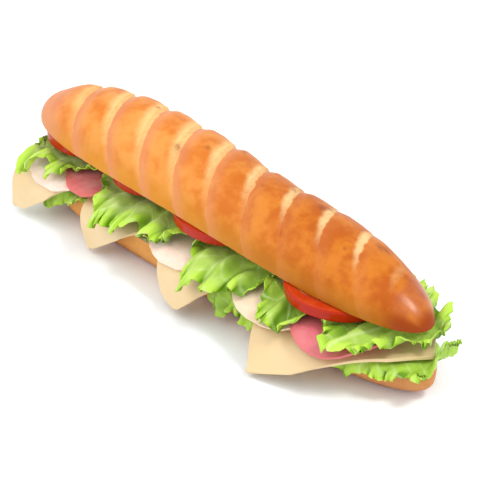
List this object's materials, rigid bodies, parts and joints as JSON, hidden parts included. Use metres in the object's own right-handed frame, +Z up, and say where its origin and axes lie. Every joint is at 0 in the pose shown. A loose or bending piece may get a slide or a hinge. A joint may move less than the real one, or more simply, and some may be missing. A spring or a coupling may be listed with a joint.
{
  "type": "submarine sandwich",
  "caption": "Submarine sandwich: a scored crusty loaf cut lengthways, filled with ruffled lettuce, draped cheese, ham, salami and tomato.",
  "frame": {"origin": "on the table, under the middle of the sandwich's box", "axes": "+X along the loaf towards its narrow end, -Y towards the side whose filling the picture shows, +Z up"},
  "size_m": [0.3064, 0.1106, 0.0837],
  "materials": {
    "crust": "baked golden-orange crust, satin",
    "lettuce": "fresh leaf, satin",
    "cheese": "soft pale slice, satin",
    "ham": "moist light pink slice",
    "salami": "moist pink slice with a redder rim",
    "tomato": "wet red skin and flesh"
  },
  "bodies": {
    "root": {"top_bun": "crust", "bottom_bun": "crust", "lettuce_lower_1": "lettuce", "lettuce_lower_2": "lettuce", "lettuce_lower_3": "lettuce", "cheese_slice_1": "cheese", "cheese_slice_2": "cheese", "cheese_slice_3": "cheese", "cheese_slice_4": "cheese", "ham_slice_1": "ham", "ham_slice_2": "ham", "ham_slice_3": "ham", "salami_slice_1": "salami", "salami_slice_2": "salami", "lettuce_upper_1": "lettuce", "lettuce_upper_2": "lettuce", "lettuce_upper_3": "lettuce", "lettuce_upper_4": "lettuce", "lettuce_upper_5": "lettuce", "tomato_slice_1": "tomato", "tomato_slice_2": "tomato", "tomato_slice_3": "tomato", "tomato_slice_4": "tomato"}
  },
  "joints": []
}
